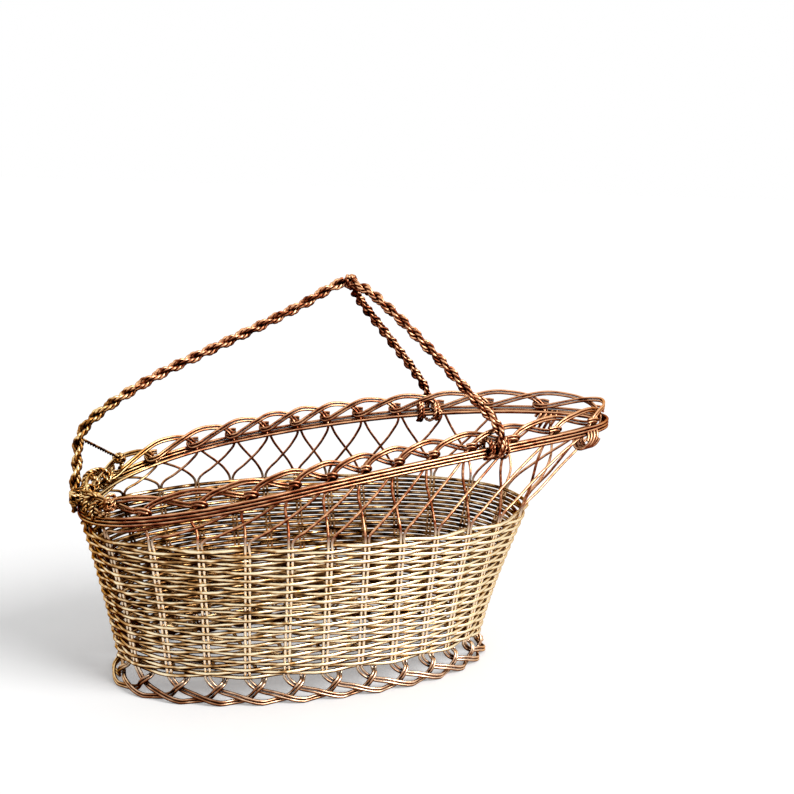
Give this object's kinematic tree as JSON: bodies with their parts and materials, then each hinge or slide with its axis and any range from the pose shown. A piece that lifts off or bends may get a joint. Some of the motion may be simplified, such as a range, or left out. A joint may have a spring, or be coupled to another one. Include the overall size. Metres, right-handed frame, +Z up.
{
  "type": "wine bottle basket",
  "caption": "Long oval wine bottle basket of woven brass wire, with a looped foot, an open trellis rim that rises to a pouring spout, and an arched handle of twisted wire rope.",
  "frame": {"origin": "middle of the length and width, on the surface that the basket stands on", "axes": "+X along the length to the pouring spout, +Y across to the side with the stay wire, +Z up"},
  "size_m": [0.2832, 0.1204, 0.1958],
  "materials": {
    "brass_wire": "polished pale gold wire with light wear",
    "copper_wire": "polished copper-toned wire with darker tarnish in the gaps"
  },
  "bodies": {
    "root": {"stake_01": "brass_wire", "stake_02": "brass_wire", "stake_03": "brass_wire", "stake_04": "brass_wire", "stake_05": "brass_wire", "stake_06": "brass_wire", "stake_07": "brass_wire", "stake_08": "brass_wire", "stake_09": "brass_wire", "stake_10": "brass_wire", "stake_11": "brass_wire", "stake_12": "brass_wire", "stake_13": "brass_wire", "stake_14": "brass_wire", "stake_15": "brass_wire", "stake_16": "brass_wire", "stake_17": "brass_wire", "stake_18": "brass_wire", "stake_19": "brass_wire", "stake_20": "brass_wire", "stake_21": "brass_wire", "stake_22": "brass_wire", "stake_23": "brass_wire", "stake_24": "brass_wire", "stake_25": "brass_wire", "stake_26": "brass_wire", "stake_27": "brass_wire", "side_weaver": "brass_wire", "base_ring": "brass_wire", "cross_rod_1": "brass_wire", "cross_rod_2": "brass_wire", "cross_rod_3": "brass_wire", "cross_rod_4": "brass_wire", "cross_rod_5": "brass_wire", "cross_rod_6": "brass_wire", "cross_rod_7": "brass_wire", "cross_rod_8": "brass_wire", "cross_rod_9": "brass_wire", "long_rod_1": "brass_wire", "long_rod_2": "brass_wire", "long_rod_3": "brass_wire", "rim_rod_lower": "copper_wire", "rim_rod_middle": "copper_wire", "rim_rod_upper": "copper_wire", "rim_rod_inner": "copper_wire", "front_handle_rope": "copper_wire", "back_handle_rope": "copper_wire", "crown_binding": "copper_wire", "near_lashing": "copper_wire", "far_lashing": "copper_wire", "back_lashing": "copper_wire", "near_rim_knot": "copper_wire", "far_rim_knot": "copper_wire", "stay_wire": "copper_wire"}
  },
  "joints": []
}
